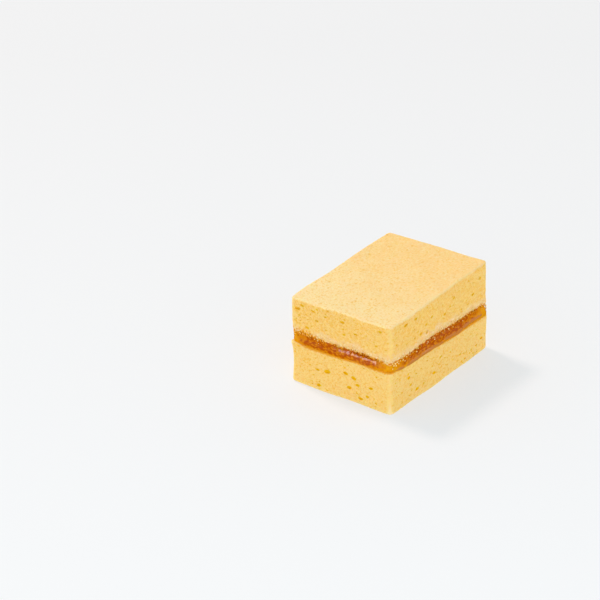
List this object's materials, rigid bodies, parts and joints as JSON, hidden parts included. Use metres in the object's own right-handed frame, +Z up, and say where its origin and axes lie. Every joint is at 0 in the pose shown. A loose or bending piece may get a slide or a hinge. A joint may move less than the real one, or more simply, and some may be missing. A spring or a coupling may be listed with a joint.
{
  "type": "chiffon cake",
  "caption": "Oblong cut slice of pale chiffon sponge, split level and filled with a thick band of glossy apricot jam that shows on every side.",
  "frame": {"origin": "centre of the slice's flat underside", "axes": "+Z up through the layers, +X along the slice's longer side towards the end where the jam is thickest, +Y across it"},
  "size_m": [0.0722, 0.0528, 0.0426],
  "materials": {
    "sponge_bottom": "matt, open-pored pale yellow chiffon crumb",
    "jam_filling": "wet, glossy apricot jam",
    "sponge_top": "matt pale yellow chiffon crumb with a smooth peeled top"
  },
  "bodies": {
    "root": {"sponge_bottom": "sponge_bottom", "jam_filling": "jam_filling", "sponge_top": "sponge_top"}
  },
  "joints": []
}
